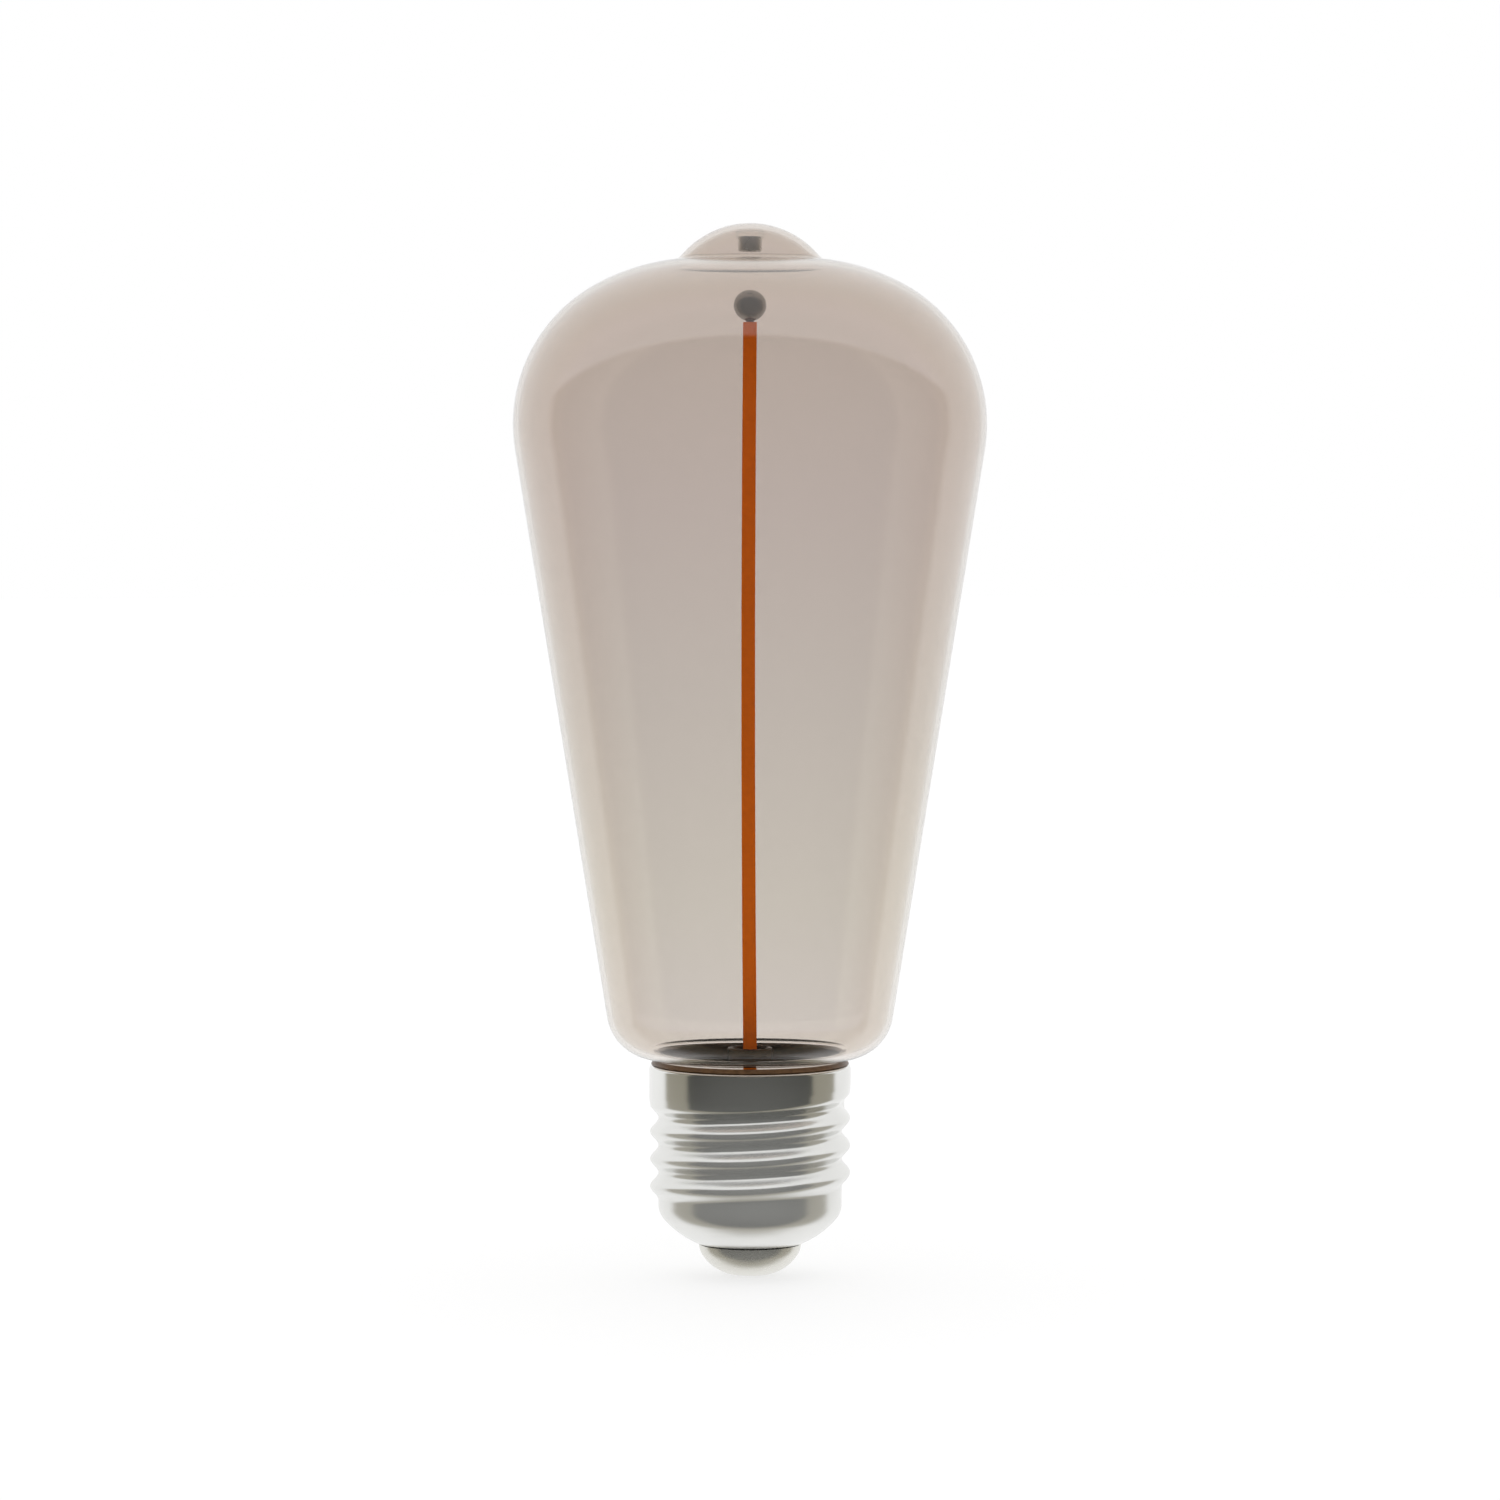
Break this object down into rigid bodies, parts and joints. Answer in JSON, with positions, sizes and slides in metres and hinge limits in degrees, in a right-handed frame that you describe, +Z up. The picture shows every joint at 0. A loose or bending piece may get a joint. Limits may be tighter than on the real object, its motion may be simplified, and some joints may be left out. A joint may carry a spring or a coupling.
{
  "type": "smart light bulb",
  "caption": "Pear-shaped smoky glass bulb on a chrome screw cap, with a ribbon filament pulled straight by a magnet in the crown above a small steel ball.",
  "frame": {"origin": "centre of the flat pad at the bottom of the centre contact, on the bulb's axis", "axes": "+Z up the bulb's axis from the contact to the crown, -Y the side the ribbon's broad face looks to, +X to the right seen from that side"},
  "size_m": [0.0622, 0.0622, 0.1385],
  "materials": {
    "smoky_glass": "clear smoky tint",
    "clear_glass": "clear",
    "nickel_wire": "drawn wire",
    "magnet_nickel": "nickel plate",
    "clear_adhesive": "clear cured adhesive",
    "strip_orange": "film",
    "chip_sapphire": "polished",
    "phosphor_orange": "soft silicone",
    "terminal_nickel": "plated",
    "dark_steel": "dark polished",
    "cap_chrome": "bright nickel plate",
    "black_insulator": "moulded",
    "cement_brown": "cured cement",
    "sleeve_black": "moulded",
    "board_green": "solder mask",
    "capacitor_can": "satin",
    "ferrite": "sintered",
    "chip_black": "moulded",
    "resistor_blue": "lacquer",
    "shield_steel": "tin plate",
    "wire_red": "wire insulation",
    "wire_black": "wire insulation"
  },
  "bodies": {
    "bulb": {"glass_envelope": "smoky_glass", "glass_stem": "clear_glass", "exhaust_tube": "clear_glass", "lead_wire_left": "nickel_wire", "lead_wire_right": "nickel_wire", "magnet": "magnet_nickel", "magnet_adhesive": "clear_adhesive", "cap_shell": "cap_chrome", "cap_insulator": "black_insulator", "centre_contact": "cap_chrome", "basing_cement": "cement_brown", "insulating_sleeve": "sleeve_black", "driver_board": "board_green", "filter_capacitor": "capacitor_can", "inductor": "ferrite", "driver_ic": "chip_black", "bridge_rectifier": "chip_black", "fusible_resistor": "resistor_blue", "radio_module": "board_green", "radio_shield": "shield_steel", "live_wire": "wire_red", "neutral_wire": "wire_black"},
    "filament": {"filament_strip": "strip_orange", "led_chips": "chip_sapphire", "phosphor_front": "phosphor_orange", "phosphor_back": "phosphor_orange", "foot_terminal_left": "terminal_nickel", "foot_terminal_right": "terminal_nickel", "top_tab": "terminal_nickel", "filament_ball": "dark_steel"}
  },
  "joints": [
    {"name": "filament_sway", "type": "hinge", "parent": "bulb", "child": "filament", "pos_m": [0, 0, 0.0277], "axis": [1, 0, 0], "range_deg": [-2.5, 2.5], "stiffness_Nm_per_rad": 0.05}
  ]
}
